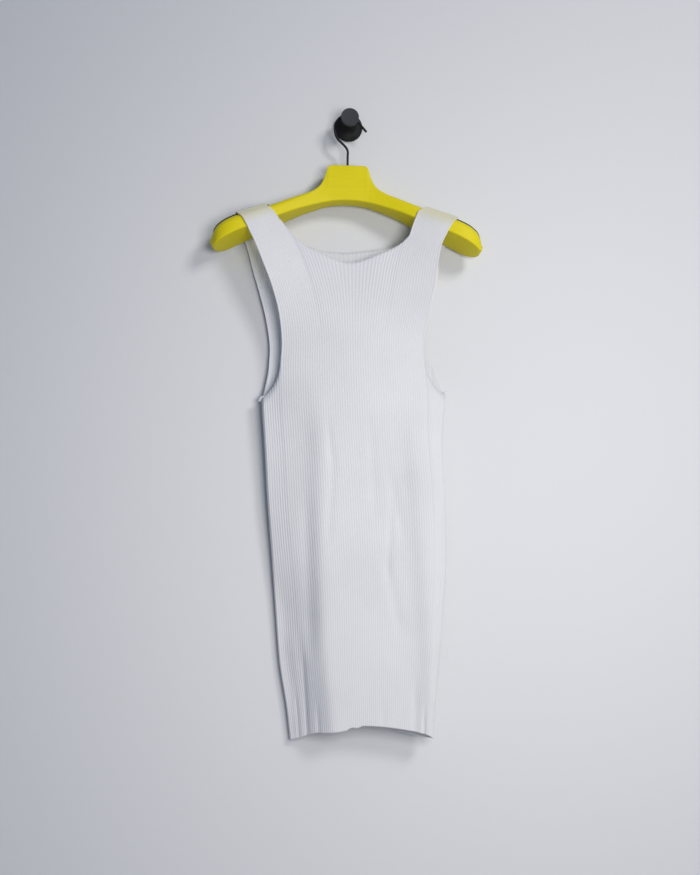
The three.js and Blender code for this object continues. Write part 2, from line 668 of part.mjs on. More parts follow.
function wireHook() {
  const route = WIRE_ROUTE.map((p) => new THREE.Vector3(p.x, WIRE_Y, p.z));
  const corners = [];
  for (let i = 0; i < WIRE_SIDES; i += 1) {
    const turn = (2 * Math.PI * i) / WIRE_SIDES;
    corners.push(new THREE.Vector2(Math.cos(turn), Math.sin(turn)).multiplyScalar(WIRE_DIAMETER / 2));
  }
  return new THREE.ExtrudeGeometry(new THREE.Shape(corners), {
    steps: WIRE_STEPS,
    extrudePath: new THREE.CatmullRomCurve3(route, false, "centripetal"),
  });
}

function wallHook() {
  const profile = [
    new THREE.Vector2(0, 0),
    new THREE.Vector2(PLATE_RADIUS, 0),
    new THREE.Vector2(PLATE_RADIUS, PLATE_THICK - PLATE_BEVEL),
    new THREE.Vector2(PLATE_RADIUS - PLATE_BEVEL, PLATE_THICK),
  ];
  for (let i = 1; i <= FLARE_STEPS; i += 1) {
    const turn = ((i / FLARE_STEPS) * Math.PI) / 2;
    const radius = mix(FLARE_RADIUS, NECK_RADIUS, Math.sin(turn));
    profile.push(new THREE.Vector2(radius, mix(NECK_START, PLATE_THICK, Math.cos(turn))));
  }
  profile.push(new THREE.Vector2(NECK_RADIUS, NECK_END));
  profile.push(new THREE.Vector2(KNOB_UNDER.radius, KNOB_UNDER.y));
  profile.push(new THREE.Vector2(KNOB_BACK.radius, KNOB_BACK.y));
  profile.push(new THREE.Vector2(KNOB_RADIUS, KNOB_RIM));
  profile.push(new THREE.Vector2(KNOB_RADIUS, KNOB_FRONT - KNOB_BEVEL));
  profile.push(new THREE.Vector2(KNOB_RADIUS - KNOB_BEVEL, KNOB_FRONT));
  profile.push(new THREE.Vector2(0, KNOB_FRONT));
  return new THREE.LatheGeometry(profile, HOOK_SIDES);
}

function named(name, geometry, material) {
  const mesh = new THREE.Mesh(geometry, material);
  mesh.name = name;
  return mesh;
}

const group = new THREE.Group();
group.add(named("front", knitPanel(FRONT_PANEL), WHITE_KNIT));
group.add(named("back", knitPanel(BACK_PANEL), WHITE_KNIT));
group.add(named("hanger_body", hangerBody(), YELLOW_PAINT));
group.add(named("grip_left", gripStrip(-1), BLACK_RUBBER));
group.add(named("grip_right", gripStrip(1), BLACK_RUBBER));
group.add(named("hanger_hook", wireHook(), BLACK_STEEL));

// The lathe turns about Y, so the hook is turned to point from the wall toward -Y.
const hook = named("wall_hook", wallHook(), BLACK_COAT);
hook.rotation.z = Math.PI;
group.add(hook);

export default group;
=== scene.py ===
import math

import bpy
import numpy as np
from mathutils import Matrix, Vector


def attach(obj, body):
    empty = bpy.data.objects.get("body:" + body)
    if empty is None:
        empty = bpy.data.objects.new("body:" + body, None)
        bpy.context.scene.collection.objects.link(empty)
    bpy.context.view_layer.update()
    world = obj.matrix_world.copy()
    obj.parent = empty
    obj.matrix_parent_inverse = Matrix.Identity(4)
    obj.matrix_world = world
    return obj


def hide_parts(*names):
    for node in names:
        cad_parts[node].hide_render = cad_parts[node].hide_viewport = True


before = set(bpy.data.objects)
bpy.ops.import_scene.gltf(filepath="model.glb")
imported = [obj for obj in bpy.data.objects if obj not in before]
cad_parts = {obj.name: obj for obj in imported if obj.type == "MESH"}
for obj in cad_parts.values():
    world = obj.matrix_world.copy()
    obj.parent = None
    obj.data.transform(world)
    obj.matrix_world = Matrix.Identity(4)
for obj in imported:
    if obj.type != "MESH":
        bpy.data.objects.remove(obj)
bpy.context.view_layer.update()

# Sizes are in millimetres in the tables and formulas, and in metres in the meshes.
# The camera, the stage and the lights are in metres throughout.
MM = 0.001
X_AXIS = np.array([1.0, 0.0, 0.0])
Y_AXIS = np.array([0.0, 1.0, 0.0])

# Camera, with the photograph's angle of view
CAMERA_AT = (-0.0996, -1.3443, -0.5988)
CAMERA_PITCH = math.radians(5)
CAMERA_YAW = math.radians(4)
CAMERA_ROLL = math.radians(-1)
CAMERA_LENS = 37.03
CAMERA_SENSOR = 36
CAMERA_NEAR = 0.05

# Knit: the room that it takes over the hanger, how deep its inner face lies, and its ribs,
# whose share of the full height depends on how far the knit is stretched from its rest pitch
WALL = 2.1
THIN = 1.5
RIB = 0.5
RIB_SHARE = 0.6
RIB_BY_STRETCH = 0.6
RIB_LEAST = 0.55
RIB_MOST = 1.05
RIB_ON_WOOD = 0.3
RIB_INSIDE = 0.6
REST_PITCH = 3.3
COURSE = 1.5

# Grid of a panel: columns across its ribs, and rows up its body, chest and straps
RIBS = 80
PER_RIB = 6
COLUMNS = RIBS * PER_RIB
BODY_ROWS = 52
ROWS_CLOSE = 1.5
CHEST_ROWS = 36
STRAP_ROWS = 30
HALVINGS = 30

# Place up a panel where it starts to lie over the wood: 2 is a strap's foot, 3 the shoulder seam
WOOD_FROM = 2.12
WOOD_OVER = 0.3

# Heights and places of the garment's form
CHEST = -372
NOTCH = -425
CENTRE = -3
STRAP_FOOT_OUTER = -187
STRAP_FOOT_INNER = -163
NARROW_FOOT_INNER = -185
HELD_FROM = -262
HELD_OVER = 75
EASE = 80

# Curl into the side seams, softness of the forms, and the edges
SIDE_ROUND = 4.5
CURL_RADIUS = 1.8
SEAM_SOFT = 1.5
FOLD_START = 0.3
FOLD_END = 0.15
HELD_INSIDE = 0.25
HELD_WIDTH = 0.4
EDGE_ROLL = 2.2
EDGE_LIFT = 0.25
EDGE_ROUND = 0.4
FAR_FROM_EDGE = 1000
HEM_BELOW = -880
INSIDE_PALE_TO = -60
INSIDE_PALE_OVER = 50


def table(names, *rows):
    values = np.array(rows, dtype=float)
    return {name: values[:, i] for i, name in enumerate(names.split())}


BODY = table(
    "z left right seam_left seam_right front back",
    (-920, -100.5, 104.5, -9, -36, -50, -9),
    (-870, -105.8, 107.8, -9, -36, -50, -9),
    (-810, -114.8, 115.8, -9, -34, -49.5, -9),
    (-732, -120, 124.2, -10, -31, -49, -9),
    (-650, -125, 131, -13, -28, -48, -9.5),
    (-575, -130, 131, -16, -26, -46.5, -9.5),
    (-500, -133.2, 129.6, -19, -25, -45, -10),
    (-425, -137, 136.2, -20, -23, -45, -10.5),
    (-372, -138, 138, -20, -23, -46, -11),
)
FRONT_CHEST = table(
    "z left right edge middle strap",
    (-372, -108.4, 104.6, -37, -47, 0.533),
    (-342, -106.4, 103.2, -41, -46.8, 0.53),
    (-300, -110.2, 111.7, -48, -46.5, 0.515),
    (-262, -119.8, 120.3, -55, -46, 0.49),
    (-228, -132.2, 125, -60, -45.5, 0.455),
    (-196, -144.8, 133.2, -62, -45, 0.41),
    (-165, -160.5, 152.5, -63, -45, 0.345),
    (-140, -172, 161, -63, -45, 0.3),
)
BACK_CHEST = table(
    "z left right edge middle strap",
    (-372, -125.6, 118.6, -10.5, -11.5, 0.47),
    (-342, -124.4, 115.4, -9.7, -11.7, 0.468),
    (-300, -130, 120.8, -9, -12, 0.455),
    (-262, -139, 128.8, -8, -12, 0.435),
    (-228, -148.2, 134.5, -7, -12, 0.4),
    (-196, -156, 142, -6, -12, 0.36),
    (-165, -165.5, 156, -5.6, -12, 0.32),
    (-140, -172, 161, -5.5, -12, 0.3),
)
FRONT_ARMHOLE = table(
    "z left right",
    (-425, -137, 136.2),
    (-417, -127.5, 128),
    (-405, -118, 116.5),
    (-388, -110.8, 108.2),
    (-372, -108.4, 104.6),
)
BACK_ARMHOLE = table(
    "z left right",
    (-425, -137, 136.2),
    (-414, -134, 132.2),
    (-400, -130.5, 126.5),
    (-386, -127.6, 121.8),
    (-372, -125.6, 118.6),
)
FRONT_NECK = table(
    "x z",
    (-121, -137),
    (-102, -168),
    (-78, -194),
    (-48, -211),
    (-19, -223),
    (-4, -225.2),
    (9, -223.5),
    (40, -212),
    (74, -195),
    (98, -167),
    (114, -139),
)
BACK_NECK = table(
    "x z",
    (-121, -136),
    (-101, -162),
    (-76, -184),
    (-47, -197),
    (-10, -201.3),
    (29, -197.5),
    (68, -189),
    (96, -165),
    (114, -140),
)
FRONT_HEM = table(
    "x z",
    (-101, -918),
    (-86, -914),
    (-66, -905.5),
    (-22, -899.5),
    (-14, -895.6),
    (-6, -896.2),
    (3, -893.6),
    (50, -899),
    (92, -909),
    (105, -917),
)
BACK_HEM = table(
    "x z",
    (-101, -918.5),
    (-50, -909),
    (0, -905.5),
    (50, -910.5),
    (105, -917.5),
)

# Folds run from a top point to a foot: x and z of both, how far out the middle stands,
# and the half width.
# A trough has its middle in. A step stays out all along its right side, and a drop lies in on its left.
FOLD_SIDE = {"step": 1, "drop": -1}
FRONT_FOLDS = [
    ("trough", -74, -540, -70, -820, -1.6, 9),
    ("trough", -88, -740, -75, -960, -1.6, 6),
    ("trough", 78, -820, 75, -960, -1.5, 6),
    ("step", 70, -390, 99, -960, 6.2, 12),
    ("drop", -64, -380, -60, -800, -6, 12),
    ("trough", -82, -770, -72, -985, -1.9, 2.8),
    ("trough", -93, -830, -83, -990, -1.4, 2.4),
    ("trough", -62, -850, -57, -990, -1.3, 3.0),
    ("trough", -30, -480, -44, -640, -0.9, 6),
    ("trough", 20, -430, 26, -600, -0.7, 7),
    ("trough", 52, -560, 40, -700, -0.9, 5),
    ("trough", 90, -860, 86, -985, -1.7, 2.6),
    ("trough", 30, -850, 34, -985, -0.6, 5),
    ("trough", -40, -452, -36, -530, -1.0, 5),
    ("trough", 44, -520, 68, -640, -1.0, 7),
    ("trough", 34, -640, 60, -770, -1.2, 8),
]
BACK_FOLDS = [
    ("trough", -70, -400, -96, -960, -2, 20),
    ("trough", 40, -430, 66, -960, -2.5, 22),
]

# Both sides of a face turn toward the side seams, each from a crease: its x, the slope beyond it,
# and how close to the plane between the seams the face may come.
FRONT_TURN = table(
    "z left left_slope right right_slope room",
    (-960, -40, 0.7, 96, 0.95, 3),
    (-900, -42, 0.7, 97, 0.95, 3),
    (-830, -48, 0.7, 103, 0.9, 3.2),
    (-740, -54, 0.54, 108, 0.8, 3.5),
    (-650, -55, 0.33, 112, 0.75, 4.3),
    (-560, -54, 0.21, 112, 0.7, 6.5),
    (-465, -50, 0.17, 108, 0.65, 8.5),
    (-400, -50, 0.21, 105, 0.6, 9),
    (-360, -50, 0.21, 105, 0.6, 9),
)
BACK_TURN = table(
    "z left left_slope right right_slope room",
    (-960, -60, 0.0, 45, 0.42, 3.4),
    (-900, -60, 0.0, 45, 0.42, 3.4),
    (-740, -60, 0.0, 45, 0.25, 3.4),
    (-560, -60, 0.0, 45, 0.14, 3.4),
    (-400, -60, 0.0, 45, 0.09, 3.4),
)
CREASE_SOFT = 3.6

# An armhole's edge runs up the rib at "chest" and the neckline's edge up the one at "neck".
# At "foot" the inner edge of each strap leaves the hanging chest.
FRONT_PANEL = {
    "face": "front",
    "outward": -1,
    "chest_rows": FRONT_CHEST,
    "armhole": FRONT_ARMHOLE,
    "neckline": FRONT_NECK,
    "hem": FRONT_HEM,
    "folds": FRONT_FOLDS,
    "turn": FRONT_TURN,
    "chest": 0.75,
    "neck": 0.35,
    "foot": {-1: STRAP_FOOT_INNER, 1: NARROW_FOOT_INNER},
}
BACK_PANEL = {
    "face": "back",
    "outward": 1,
    "chest_rows": BACK_CHEST,
    "armhole": BACK_ARMHOLE,
    "neckline": BACK_NECK,
    "hem": BACK_HEM,
    "folds": BACK_FOLDS,
    "turn": BACK_TURN,
    "chest": 0.85,
    "neck": 0.45,
    "foot": {-1: STRAP_FOOT_INNER, 1: STRAP_FOOT_INNER},
}

# Hanger, in its own frame
HANGER_X = -4
HANGER_Z = -72
HANGER_TILT = math.radians(1.2)
HANGER = table(
    "x top front back low_front low_back crown",
    (0, 0, -36, -12, -55, -56, 2.5),
    (14, 0, -36, -12, -55.7, -56.7, 2.5),
    (25, -0.3, -36, -12, -57, -58, 2.5),
    (29.5, -2.5, -36.3, -12, -58, -59, 2.8),
    (32, -9, -36.5, -12, -58.5, -59.5, 3.2),
    (35, -19, -37, -11.9, -59.3, -60.3, 3.8),
    (42, -31.5, -38, -11.7, -61.3, -62.5, 5),
    (56, -41.5, -40.5, -11.2, -66, -67.5, 7),
    (75, -49.5, -44.5, -10.5, -73, -75, 9.5),
    (95, -58, -49, -9.8, -82, -84.8, 12),
    (117, -67.6, -54, -9, -92.5, -96.5, 13.5),
    (140, -76.3, -59, -8.3, -103, -108, 14.5),
    (163, -84.6, -61.5, -8, -113.5, -119.5, 15),
    (180, -92.2, -60, -10, -122, -128.5, 15),
    (190, -99, -56, -15, -127.5, -132.5, 14),
    (195, -103.8, -51.5, -20, -130.6, -133.8, 12.4),
    (199, -110.8, -46, -25.5, -131.6, -133.3, 9.8),
    (201.6, -119.5, -39.5, -31.5, -128.5, -129, 4),
)
HANGER_RINGS = ((0, 24, 7), (26, 44, 19), (47, HANGER["x"][-1], 66))
CROWN_POWER = 2.3
CROWN_POINTS = 25
LOW_EDGE = 2.4
LOW_EDGE_SHARE = 0.3
LOW_EDGE_POINTS = 5
END_OUT = 2.0
END_STEPS = (0.35, 0.65, 0.88)

# Straps over the hanger. A strap turns from a face of the hanger to the seam behind its ridge.
REST = 0.8
SEAM_TURN = math.radians(106)
FACE_SHARE = 0.3
STRAP_SPREAD = 0.65
STRAP_TOP = {-1: (-171.8, -129.4), 1: (159.3, 114.1)}
STRAP_LEVEL = -150
OVER_GRIP = 2.1
OVER_GRIP_REACH = 2.6

# Rubber grip strips
GRIP_FROM = 117
GRIP_TO = 199
GRIP_TURN = math.radians(70)
GRIP_HALF_TURN = math.radians(14)
GRIP_THICK = 2.0
GRIP_RIDGE = 0.16
GRIP_CROWN = 0.55
GRIP_END = 2.5
GRIP_END_LEAST = 0.05
GRIP_LIFT = 0.05
GRIP_UNDER = 0.02
GRIP_RINGS = 110
GRIP_POINTS = 9

# Wire hook: x and z of its route
WIRE_RADIUS = 1.8
WIRE_Y = -24
WIRE_STEPS = 10
WIRE_SIDES = 20
WIRE_END = 0.6 * WIRE_RADIUS
WIRE_END_STEPS = (0.4, 0.75, 0.95)
WIRE_ROUTE = [
    (-4, -74),
    (-3.4, -56),
    (-3.2, -46.5),
    (-5.6, -41),
    (-10.5, -35.5),
    (-16.5, -29.5),
    (-20.8, -22),
    (-22.2, -13),
    (-20.8, -3.5),
    (-15.8, 4.2),
    (-8.5, 8.6),
    (-0.5, 9.4),
    (6.8, 6.2),
    (13, 0),
    (19.4, -8),
    (25.6, -15.6),
]

# Wall hook, with its knob's outline as radius and distance from the wall
PLATE_RADIUS = 21.8
PLATE_DEPTH = 5
PLATE_EDGE = 1.6
PLATE_EDGE_STEPS = 5
FLARE_RADIUS = 19.8
FLARE_TO = 17
FLARE_STEPS = 16
NECK_RADIUS = 6.4
LATHE_SIDES = 96
KNOB_PROFILE = [
    (NECK_RADIUS, 22),
    (NECK_RADIUS, 29),
    (6.7, 30.4),
    (8, 31.6),
    (10, 33.2),
    (12, 35),
    (13.1, 36.1),
    (13.5, 37.2),
    (13.5, 41.2),
    (13.3, 41.7),
    (12.9, 42),
    (12.2, 42),
    (12, 41.8),
    (11.6, 41.75),
]

# Tacks at the underarms
TACK = {
    -1: {"root": (-132.5, -21, -420.5), "tip": (-142, -20, -427.5)},
    1: {"root": (131.5, -24, -421), "tip": (139.8, -23.5, -416.5)},
}
TACK_RADIUS = 3.3
TACK_TAPER = 0.35
TACK_PLEATS = 5
TACK_PLEAT = 0.18
TACK_TWIST = 2
TACK_SIDES = 24
TACK_RINGS = 14
TACK_FIRST = 0.02

# Finish of the knit. Inside, the shaded side is paler, for the light that comes through the cloth.
BUMP_DISTANCE = 0.0003
KNIT_DEEP = (0.655, 0.66, 0.685, 1)
KNIT_PALE = (0.69, 0.695, 0.72, 1)
# Painted shade: darker where the knit is stretched, for the dark inside seen through the thinner knit
KNIT_THIN_SHADOWED = (0.61, 0.62, 0.66, 1)
# Painted light: yellower and darker where the straps lie over the wood, for the wood's yellow coming back
# through the thin knit
KNIT_WOOD_LIGHT = (0.62, 0.60, 0.44, 1)
KNIT_INSIDE = (0.93, 0.94, 0.97, 1)
KNIT_BUMP = 0.5
# How much of that painted shade each step of stretch adds
SHADE_THROUGH_BY_STRETCH = 0.2
STITCH_SLANT = 1.6
STITCH_HEIGHT = 0.5
FUZZ_SCALE = 2200
FUZZ_HEIGHT = 0.8
CLOUD_SCALE = 14

# Finish of the hanger and both hooks
PAINT_DEEP = (0.665, 0.57, 0.006, 1)
PAINT_PALE = (0.69, 0.595, 0.008, 1)
PAINT_BUMP = 0.05
GRAIN_STRETCH = (12, 160, 160)
GRAIN_SCALE = 3
RUBBER_COLOR = (0.012, 0.012, 0.014)
WIRE_COLOR = (0.010, 0.010, 0.012)
DARK_SPREAD = 0.15
COAT_DARK = (0.004, 0.004, 0.005, 1)
COAT_PALE = (0.040, 0.042, 0.048, 1)
COAT_SCALE = 1400
COAT_BUMP = 0.1
DISC_FROM = -36

# Stage and light, in metres
STAGE_HALF = 4
WALL_Y = 0.0005
WALL_TOP = 2.2
WALL_COLOR = (0.66, 0.67, 0.69, 1)
FLOOR_Z = -1.7
FLOOR_NEAR = -5
FLOOR_FAR = 3
FLOOR_COLOR = (0.62, 0.62, 0.62, 1)
ROOM_COLOR = (0.60, 0.745, 1.0, 1)
ROOM_STRENGTH = 0.26
LAMP_COLOR = (1.0, 0.967, 0.935)


def mix(a, b, t):
    return a + (b - a) * t


def clamp(t):
    return np.clip(t, 0.0, 1.0)


def smooth(t):
    t = clamp(t)
    return t * t * (3 - 2 * t)


def along(rows, key, at, by="z"):
    """A table's value at one place, on a smooth curve through its rows."""
    x, y = rows[by], rows[key]
    slope = np.empty_like(y)
    slope[1:-1] = (y[2:] - y[:-2]) / (x[2:] - x[:-2])
    slope[0] = (y[1] - y[0]) / (x[1] - x[0])
    slope[-1] = (y[-1] - y[-2]) / (x[-1] - x[-2])
    at = np.clip(at, x[0], x[-1])
    i = np.clip(np.searchsorted(x, at) - 1, 0, len(x) - 2)
    span = x[i + 1] - x[i]
    t = (at - x[i]) / span
    bend = t * (1 - t) * span
    return y[i] + (y[i + 1] - y[i]) * smooth(t) + bend * ((1 - t) * slope[i] - t * slope[i + 1])


def ramp(t, soft):
    """Rises from 0 before t = 0 to a slope of 1 after it, softly."""
    return soft * np.logaddexp(0, t / soft)


def seam_line(x, z):
    """Depth of the plane between both side seams."""
    left, right = along(BODY, "left", z), along(BODY, "right", z)
    across = clamp((x - left) / (right - left))
    return mix(along(BODY, "seam_left", z), along(BODY, "seam_right", z), across)


def tube_depth(panel, x, z):
    """How far a face of the hanging tube stands out of the plane between the seams."""
    turn = panel["turn"]
    left = along(turn, "left_slope", z) * ramp(along(turn, "left", z) - x, CREASE_SOFT)
    right = along(turn, "right_slope", z) * ramp(x - along(turn, "right", z), CREASE_SOFT)
    face = panel["outward"] * (along(BODY, panel["face"], z) - seam_line(x, z))
    room = along(turn, "room", z)
    return room + ramp(face + fold_out(panel, x, z) - left - right - room, SEAM_SOFT)


def curl_width(depth):
    """Width of the curl into a side seam, where the face comes to this depth."""
    return np.minimum(SIDE_ROUND, np.sqrt(CURL_RADIUS * depth))


def tube_point(panel, a, z):
    """Place of a rib on the hanging tube: "a" is -1 at the left seam and 1 at the right one."""
    left = along(BODY, "left", z)
    right = along(BODY, "right", z)
    left_depth = tube_depth(panel, left + SIDE_ROUND, z)
    right_depth = tube_depth(panel, right - SIDE_ROUND, z)
    left_width, right_width = curl_width(left_depth), curl_width(right_depth)
    left_turn = (math.pi / 4) * (left_width + left_depth)
    right_turn = (math.pi / 4) * (right_width + right_depth)
    total = right - left - left_width - right_width + left_turn + right_turn
    from_left = ((a + 1) / 2) * total
    from_seam = np.where(a < 0, from_left, total - from_left)
    turn = np.where(a < 0, left_turn, right_turn)
    width = np.where(a < 0, left_width, right_width)
    angle = np.minimum(1, from_seam / turn) * (math.pi / 2)
    inset = width * (1 - np.cos(angle)) + np.maximum(0, from_seam - turn)
    x = np.where(a < 0, left + inset, right - inset)
    return x, seam_line(x, z) + panel["outward"] * tube_depth(panel, x, z) * np.sin(angle)


def hanger_x(x):
    """Place along the tilted hanger of a point at the straps' level."""
    return (x - HANGER_X) * math.cos(HANGER_TILT) - (STRAP_LEVEL - HANGER_Z) * math.sin(HANGER_TILT)


def hanger_to_world(x, y, z):
    """Turns the hanger's own frame into the part's."""
    c, s = math.cos(HANGER_TILT), math.sin(HANGER_TILT)
    return np.stack(np.broadcast_arrays(HANGER_X + x * c + z * s, y, HANGER_Z - x * s + z * c), -1)


def hanger_surface(x, turn, lift):
    """A point on the hanger's rounded top. Turn 0 is its front face and pi its back face."""
    far = np.abs(x)
    front, back = along(HANGER, "front", far, "x"), along(HANGER, "back", far, "x")
    half = (back - front) / 2
    crown = along(HANGER, "crown", far, "x")
    c, s = np.cos(turn), np.maximum(0, np.sin(turn))
    power = 2 / CROWN_POWER
    y = (front + back) / 2 - np.sign(c) * np.abs(c) ** power * half
    z = along(HANGER, "top", far, "x") - crown + s**power * crown
    ny = -np.sign(c) * np.abs(c) ** (2 - power) / half
    nz = s ** (2 - power) / crown
    size = np.hypot(ny, nz)
    return hanger_to_world(x, y + ny / size * lift, z + nz / size * lift)


def chest_point(panel, a, z):
    """Place of a rib from the chest up, between the armhole edges."""
    rows = panel["chest_rows"]
    edge = np.where(a < 0, along(rows, "left", z), along(rows, "right", z))
    strap = along(rows, "strap", z)
    inward = 1 - np.abs(a) / panel["chest"]
    strap_end = 1 - panel["neck"] / panel["chest"]
    t = clamp((inward - strap_end) / (1 - strap_end))
    start = ((strap / strap_end) * (1 - strap_end)) / (1 - strap)
    inner_share = strap + (1 - strap) * (start * t + (1 - start) * t * t)
    share = np.where(inward > strap_end, inner_share, strap * inward / strap_end)
    x = mix(edge, CENTRE, share)
    across = 1 - share
    hung = mix(along(rows, "middle", z), along(rows, "edge", z), across * across)
    face_turn = 0.0 if panel["outward"] < 0 else math.pi
    on_hanger = hanger_surface(hanger_x(x), np.full_like(x, face_turn), REST + WALL)[..., 1]
    held = smooth((z - HELD_FROM) / HELD_OVER) * smooth((across - HELD_INSIDE) / HELD_WIDTH)
    return x, mix(hung, on_hanger, held)


def fold_out(panel, x, z):
    """How far the folds move a face outward."""
    out = np.zeros_like(x)
    for kind, top_x, top_z, foot_x, foot_z, depth, reach in panel["folds"]:
        t = (top_z - z) / (top_z - foot_z)
        away = (x - mix(top_x, foot_x, t)) / reach
        if kind == "trough":
            shape = np.exp(-away * away)
        else:
            shape = 0.5 + 0.5 * np.tanh(away * FOLD_SIDE[kind])
        out += depth * smooth(t / FOLD_START) * smooth((1 - t) / FOLD_END) * shape
    return out


def face_point(panel, a, z):
    """Outer face of a panel at one rib and height."""
    a, z = np.broadcast_arrays(np.asarray(a, float), np.asarray(z, float))
    fan_from = NOTCH - EASE * (1 - a * a)
    rise = smooth((z - fan_from) / (CHEST - fan_from))
    tube_x, tube_y = tube_point(panel, a, z)
    chest_x, chest_y = chest_point(panel, a, z)
    x = mix(tube_x, chest_x, rise)
    return np.stack([x, mix(tube_y, chest_y, rise), z], -1)


def strap_foot(panel, a, inward):
    """Height at which a strap leaves the hanging chest for the hanger."""
    inner = np.where(a < 0, panel["foot"][-1], panel["foot"][1])
    return mix(STRAP_FOOT_OUTER, inner, clamp(inward))


def strap_point(panel, a, up):
    """A strap's outer face where it lies on the hanger: "up" is 0 at its foot and 1 at the seam."""
    a, up = np.broadcast_arrays(np.asarray(a, float), np.asarray(up, float))
    inward = (panel["chest"] - np.abs(a)) / (panel["chest"] - panel["neck"])
    foot = face_point(panel, a, strap_foot(panel, a, inward))
    outer = np.where(a < 0, STRAP_TOP[-1][0], STRAP_TOP[1][0])
    inner = np.where(a < 0, STRAP_TOP[-1][1], STRAP_TOP[1][1])
    x = hanger_x(mix(foot[..., 0], mix(outer, inner, inward), clamp(up / STRAP_SPREAD)))
    face_turn = 0.0 if panel["outward"] < 0 else math.pi
    turn = mix(face_turn, SEAM_TURN, clamp((up - FACE_SHARE) / (1 - FACE_SHARE)))
    from_grip = np.abs(turn - GRIP_TURN) / GRIP_HALF_TURN
    over_grip = OVER_GRIP * smooth(OVER_GRIP_REACH - from_grip)
    point = hanger_surface(x, turn, REST + WALL + over_grip)
    low = up < FACE_SHARE
    point[..., 2] = np.where(low, mix(foot[..., 2], point[..., 2], up / FACE_SHARE), point[..., 2])
    return point


def highest(low, high, holds):
    """The height up to which a test holds, for each rib."""
    for _ in range(HALVINGS):
        z = (low + high) / 2
        good = holds(z)
        low = np.where(good, z, low)
        high = np.where(good, high, z)
    return low


def grid_heights(panel, a, v):
    """Height of every rib's points: "v" is 0 at the hem, 1 at the chest or armhole, 2 at the top."""
    share = np.abs(a)
    low = np.full_like(a, CHEST)
    inward = (panel["chest"] - share) / (panel["chest"] - panel["neck"])
    foot = strap_foot(panel, a, inward)
    neck = highest(
        low,
        strap_foot(panel, a, np.ones_like(a)),
        lambda z: z < along(panel["neckline"], "z", chest_point(panel, a, z)[0], "x"),
    )
    top = np.where(inward < 1, foot, neck)
    left = a < 0

    def inside(z):
        edge = np.where(left, along(panel["armhole"], "left", z), along(panel["armhole"], "right", z))
        return np.abs(face_point(panel, a, z)[..., 0]) < np.abs(edge)

    armhole = highest(np.full_like(a, NOTCH), low, inside)
    chest = np.where(share > panel["chest"], armhole, CHEST)
    hem = along(panel["hem"], "z", tube_point(panel, a, np.full_like(a, BODY["z"][0]))[0], "x")
    v = v[:, None]
    return np.where(v > 1, mix(CHEST, top, v - 1), mix(hem, chest, v))


def knit_grid(panel):
    """Points of the panel's outer face at every column and row."""
    rows = np.concatenate(
        [
            (np.arange(BODY_ROWS) / BODY_ROWS) ** ROWS_CLOSE,
            1 + np.arange(CHEST_ROWS) / CHEST_ROWS,
            2 + np.arange(STRAP_ROWS + 1) / STRAP_ROWS,
        ]
    )
    a = np.linspace(-1, 1, COLUMNS + 1)
    low = rows <= 2
    hung = face_point(panel, a[None, :], grid_heights(panel, a, rows[low]))
    held = strap_point(panel, a[None, :], rows[~low][:, None] - 2)
    return rows, np.concatenate([hung, held])


def edge_columns(panel):
    """The left columns where an armhole's edge and the neckline's edge run up."""
    return tuple(round((1 - panel[edge]) / 2 * COLUMNS) for edge in ("chest", "neck"))


def mask_of(panel, rows):
    """Which squares of the grid are cloth."""
    chest, neck = edge_columns(panel)
    shown = np.zeros((len(rows) - 1, COLUMNS), bool)
    shown[:BODY_ROWS] = True
    shown[BODY_ROWS : BODY_ROWS + CHEST_ROWS, chest : COLUMNS - chest] = True
    shown[BODY_ROWS + CHEST_ROWS :, chest:neck] = True
    shown[BODY_ROWS + CHEST_ROWS :, COLUMNS - neck : COLUMNS - chest] = True
    return shown


def used_by(shown):
    """How many squares of cloth use each point."""
    used = np.zeros((shown.shape[0] + 1, shown.shape[1] + 1), int)
    used[:-1, :-1] += shown
    used[1:, :-1] += shown
    used[:-1, 1:] += shown
    used[1:, 1:] += shown
    return used


def grid_tangent(points, shown, axis):
    """Difference of neighbouring points along one axis, taken only across cloth."""
    used = used_by(shown) > 0
    ahead = np.zeros_like(points)
    behind = np.zeros_like(points)
    if axis == 0:
        link = (used[1:] & used[:-1])[..., None]
        step = np.where(link, points[1:] - points[:-1], 0)
        ahead[:-1], behind[1:] = step, step
    else:
        link = (used[:, 1:] & used[:, :-1])[..., None]
        step = np.where(link, points[:, 1:] - points[:, :-1], 0)
        ahead[:, :-1], behind[:, 1:] = step, step
    return ahead + behind


def unit(vectors):
    return vectors / np.maximum(np.linalg.norm(vectors, axis=-1, keepdims=True), 1e-9)

def travelled_along(points, axis):
    """Distance along the cloth from the first point of each row or column."""
    steps = np.linalg.norm(np.diff(points, axis=axis), axis=-1)
    start = np.zeros_like(np.take(steps, [0], axis=axis))
    return np.concatenate([start, np.cumsum(steps, axis=axis)], axis=axis)


def edge_distance(panel, travelled, sideways):
    """Distance along the cloth to the nearest edge of the neck, an armhole or a strap."""
    chest, neck = edge_columns(panel)
    columns = np.arange(COLUMNS + 1)
    outer = np.minimum(columns, COLUMNS - columns)
    last = np.where(outer < chest, BODY_ROWS, BODY_ROWS + CHEST_ROWS)
    away = np.full(travelled.shape, FAR_FROM_EDGE, float)
    for column in columns[(outer < chest) | (outer > neck)]:
        below = slice(0, last[column] + 1)
        away[below, column] = travelled[last[column], column] - travelled[below, column]
    for first_row, edges in (
        (BODY_ROWS, (chest, COLUMNS - chest)),
        (BODY_ROWS + CHEST_ROWS, (neck, COLUMNS - neck)),
    ):
        for edge in edges:
            beside = np.abs(sideways[first_row:] - sideways[first_row:, edge : edge + 1])
            away[first_row:] = np.minimum(away[first_row:], beside)
    return away


def edge_points(used):
    """Points on an edge of the cloth, but for the side seams, the hem and the shoulder seam."""
    found = (used > 0) & (used < 4)
    found[:, 0] = False
    found[:, -1] = False
    found[0] = False
    found[-1] = False
    return found


